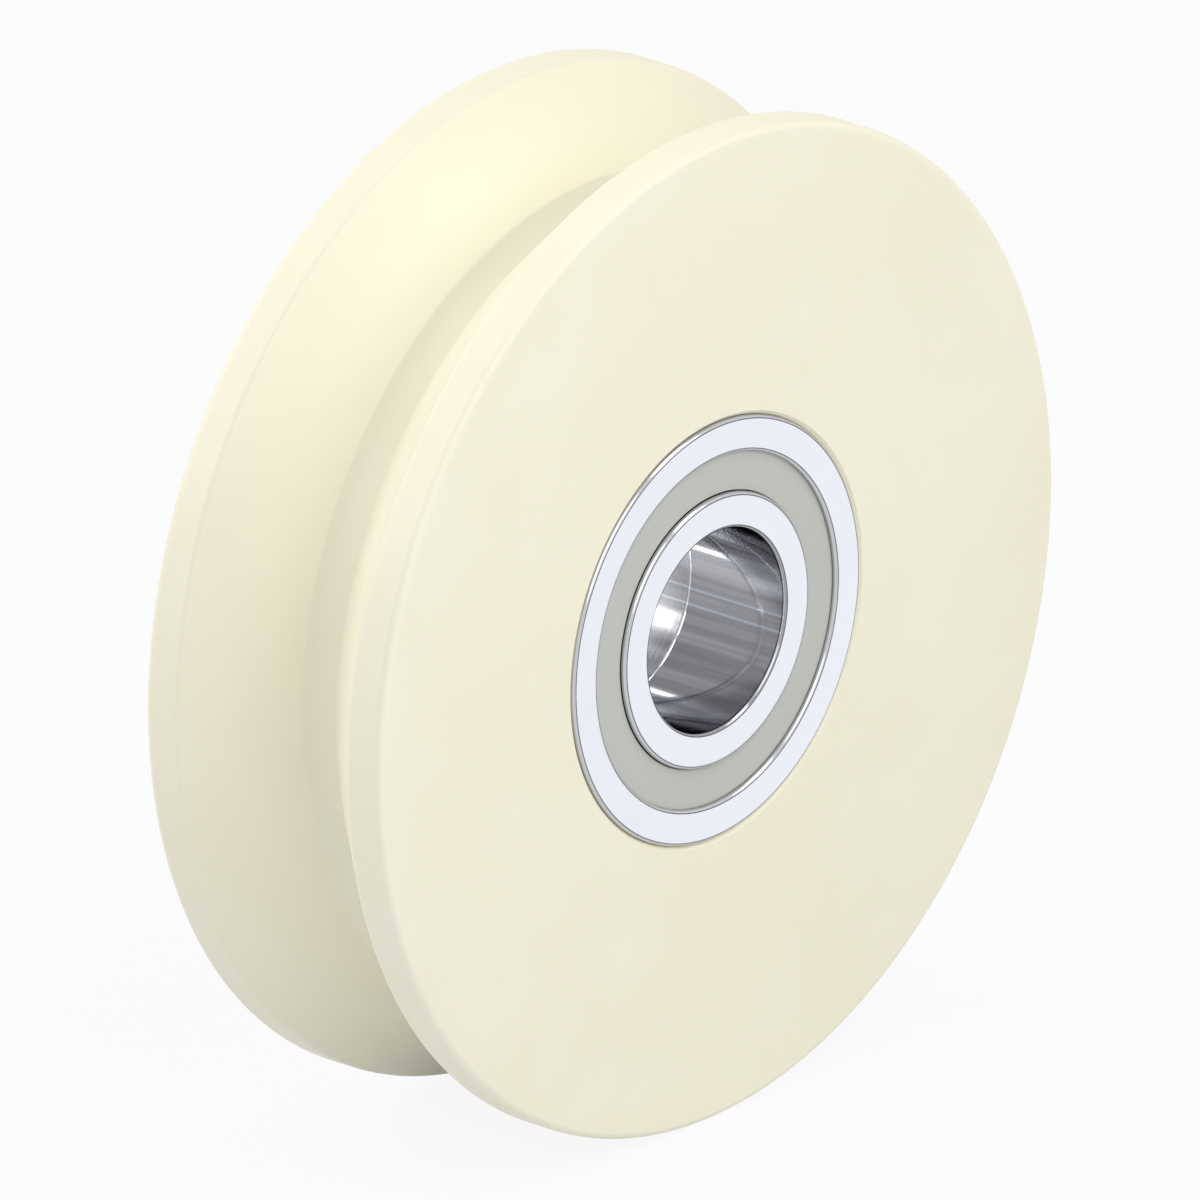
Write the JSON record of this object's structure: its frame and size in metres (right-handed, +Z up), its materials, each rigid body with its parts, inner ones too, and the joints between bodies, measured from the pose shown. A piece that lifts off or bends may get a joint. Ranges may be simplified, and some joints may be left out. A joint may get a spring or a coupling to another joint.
{
  "type": "flanged wheel",
  "caption": "Flanged nylon wheel with a V-shaped running groove between its flanges, turning on sealed ball bearings round a plain bore for an axle.",
  "frame": {"origin": "the wheel's centre, on the axle's axis midway between the two faces", "axes": "+Y along the axle from the face in the picture to the back, +Z up, +X to the right seen from that face"},
  "size_m": [0.099, 0.029, 0.099],
  "materials": {
    "nylon": "turned cast nylon, ivory, faint turning marks",
    "ring_steel": "ground bearing steel, bright",
    "ball_steel": "polished bearing steel",
    "cage_steel": "pressed sheet steel",
    "sleeve_steel": "turned steel",
    "seal_rubber": "moulded rubber, matte warm grey"
  },
  "bodies": {
    "axle_side": {"front_inner_ring": "ring_steel", "spacer_sleeve": "sleeve_steel", "rear_inner_ring": "ring_steel"},
    "wheel": {"wheel_body": "nylon", "front_outer_ring": "ring_steel", "front_outer_seal": "seal_rubber", "front_inner_seal": "seal_rubber", "rear_outer_ring": "ring_steel", "rear_outer_seal": "seal_rubber", "rear_inner_seal": "seal_rubber"},
    "front_cage": {"front_cage_outer_half": "cage_steel", "front_cage_inner_half": "cage_steel", "front_cage_rivets": "cage_steel"},
    "front_ball_1": {"front_ball_1": "ball_steel"},
    "front_ball_2": {"front_ball_2": "ball_steel"},
    "front_ball_3": {"front_ball_3": "ball_steel"},
    "front_ball_4": {"front_ball_4": "ball_steel"},
    "front_ball_5": {"front_ball_5": "ball_steel"},
    "front_ball_6": {"front_ball_6": "ball_steel"},
    "front_ball_7": {"front_ball_7": "ball_steel"},
    "front_ball_8": {"front_ball_8": "ball_steel"},
    "front_ball_9": {"front_ball_9": "ball_steel"},
    "rear_cage": {"rear_cage_outer_half": "cage_steel", "rear_cage_inner_half": "cage_steel", "rear_cage_rivets": "cage_steel"},
    "rear_ball_1": {"rear_ball_1": "ball_steel"},
    "rear_ball_2": {"rear_ball_2": "ball_steel"},
    "rear_ball_3": {"rear_ball_3": "ball_steel"},
    "rear_ball_4": {"rear_ball_4": "ball_steel"},
    "rear_ball_5": {"rear_ball_5": "ball_steel"},
    "rear_ball_6": {"rear_ball_6": "ball_steel"},
    "rear_ball_7": {"rear_ball_7": "ball_steel"},
    "rear_ball_8": {"rear_ball_8": "ball_steel"},
    "rear_ball_9": {"rear_ball_9": "ball_steel"}
  },
  "joints": [
    {"name": "wheel_spin", "type": "hinge", "parent": "axle_side", "child": "wheel", "pos_m": [0, 0, 0], "axis": [0, 1, 0], "continuous": true},
    {"name": "front_cage_spin", "type": "hinge", "parent": "axle_side", "child": "front_cage", "pos_m": [0, 0, 0], "axis": [0, 1, 0], "continuous": true},
    {"name": "front_ball_1_spin", "type": "hinge", "parent": "front_cage", "child": "front_ball_1", "pos_m": [0, -0.0085, 0.0155], "axis": [0, 1, 0], "continuous": true},
    {"name": "front_ball_2_spin", "type": "hinge", "parent": "front_cage", "child": "front_ball_2", "pos_m": [0.00996, -0.0085, 0.01187], "axis": [0, 1, 0], "continuous": true},
    {"name": "front_ball_3_spin", "type": "hinge", "parent": "front_cage", "child": "front_ball_3", "pos_m": [0.01526, -0.0085, 0.00269], "axis": [0, 1, 0], "continuous": true},
    {"name": "front_ball_4_spin", "type": "hinge", "parent": "front_cage", "child": "front_ball_4", "pos_m": [0.01342, -0.0085, -0.00775], "axis": [0, 1, 0], "continuous": true},
    {"name": "front_ball_5_spin", "type": "hinge", "parent": "front_cage", "child": "front_ball_5", "pos_m": [0.0053, -0.0085, -0.01457], "axis": [0, 1, 0], "continuous": true},
    {"name": "front_ball_6_spin", "type": "hinge", "parent": "front_cage", "child": "front_ball_6", "pos_m": [-0.0053, -0.0085, -0.01457], "axis": [0, 1, 0], "continuous": true},
    {"name": "front_ball_7_spin", "type": "hinge", "parent": "front_cage", "child": "front_ball_7", "pos_m": [-0.01342, -0.0085, -0.00775], "axis": [0, 1, 0], "continuous": true},
    {"name": "front_ball_8_spin", "type": "hinge", "parent": "front_cage", "child": "front_ball_8", "pos_m": [-0.01526, -0.0085, 0.00269], "axis": [0, 1, 0], "continuous": true},
    {"name": "front_ball_9_spin", "type": "hinge", "parent": "front_cage", "child": "front_ball_9", "pos_m": [-0.00996, -0.0085, 0.01187], "axis": [0, 1, 0], "continuous": true},
    {"name": "rear_cage_spin", "type": "hinge", "parent": "axle_side", "child": "rear_cage", "pos_m": [0, 0, 0], "axis": [0, 1, 0], "continuous": true},
    {"name": "rear_ball_1_spin", "type": "hinge", "parent": "rear_cage", "child": "rear_ball_1", "pos_m": [0, 0.0085, 0.0155], "axis": [0, 1, 0], "continuous": true},
    {"name": "rear_ball_2_spin", "type": "hinge", "parent": "rear_cage", "child": "rear_ball_2", "pos_m": [0.00996, 0.0085, 0.01187], "axis": [0, 1, 0], "continuous": true},
    {"name": "rear_ball_3_spin", "type": "hinge", "parent": "rear_cage", "child": "rear_ball_3", "pos_m": [0.01526, 0.0085, 0.00269], "axis": [0, 1, 0], "continuous": true},
    {"name": "rear_ball_4_spin", "type": "hinge", "parent": "rear_cage", "child": "rear_ball_4", "pos_m": [0.01342, 0.0085, -0.00775], "axis": [0, 1, 0], "continuous": true},
    {"name": "rear_ball_5_spin", "type": "hinge", "parent": "rear_cage", "child": "rear_ball_5", "pos_m": [0.0053, 0.0085, -0.01457], "axis": [0, 1, 0], "continuous": true},
    {"name": "rear_ball_6_spin", "type": "hinge", "parent": "rear_cage", "child": "rear_ball_6", "pos_m": [-0.0053, 0.0085, -0.01457], "axis": [0, 1, 0], "continuous": true},
    {"name": "rear_ball_7_spin", "type": "hinge", "parent": "rear_cage", "child": "rear_ball_7", "pos_m": [-0.01342, 0.0085, -0.00775], "axis": [0, 1, 0], "continuous": true},
    {"name": "rear_ball_8_spin", "type": "hinge", "parent": "rear_cage", "child": "rear_ball_8", "pos_m": [-0.01526, 0.0085, 0.00269], "axis": [0, 1, 0], "continuous": true},
    {"name": "rear_ball_9_spin", "type": "hinge", "parent": "rear_cage", "child": "rear_ball_9", "pos_m": [-0.00996, 0.0085, 0.01187], "axis": [0, 1, 0], "continuous": true}
  ],
  "couplings": [
    {"joint": "front_cage_spin", "follows": "wheel_spin", "ratio": 0.60242},
    {"joint": "front_ball_1_spin", "follows": "wheel_spin", "ratio": 2.3385},
    {"joint": "front_ball_2_spin", "follows": "wheel_spin", "ratio": 2.3385},
    {"joint": "front_ball_3_spin", "follows": "wheel_spin", "ratio": 2.3385},
    {"joint": "front_ball_4_spin", "follows": "wheel_spin", "ratio": 2.3385},
    {"joint": "front_ball_5_spin", "follows": "wheel_spin", "ratio": 2.3385},
    {"joint": "front_ball_6_spin", "follows": "wheel_spin", "ratio": 2.3385},
    {"joint": "front_ball_7_spin", "follows": "wheel_spin", "ratio": 2.3385},
    {"joint": "front_ball_8_spin", "follows": "wheel_spin", "ratio": 2.3385},
    {"joint": "front_ball_9_spin", "follows": "wheel_spin", "ratio": 2.3385},
    {"joint": "rear_cage_spin", "follows": "wheel_spin", "ratio": 0.60242},
    {"joint": "rear_ball_1_spin", "follows": "wheel_spin", "ratio": 2.3385},
    {"joint": "rear_ball_2_spin", "follows": "wheel_spin", "ratio": 2.3385},
    {"joint": "rear_ball_3_spin", "follows": "wheel_spin", "ratio": 2.3385},
    {"joint": "rear_ball_4_spin", "follows": "wheel_spin", "ratio": 2.3385},
    {"joint": "rear_ball_5_spin", "follows": "wheel_spin", "ratio": 2.3385},
    {"joint": "rear_ball_6_spin", "follows": "wheel_spin", "ratio": 2.3385},
    {"joint": "rear_ball_7_spin", "follows": "wheel_spin", "ratio": 2.3385},
    {"joint": "rear_ball_8_spin", "follows": "wheel_spin", "ratio": 2.3385},
    {"joint": "rear_ball_9_spin", "follows": "wheel_spin", "ratio": 2.3385}
  ]
}
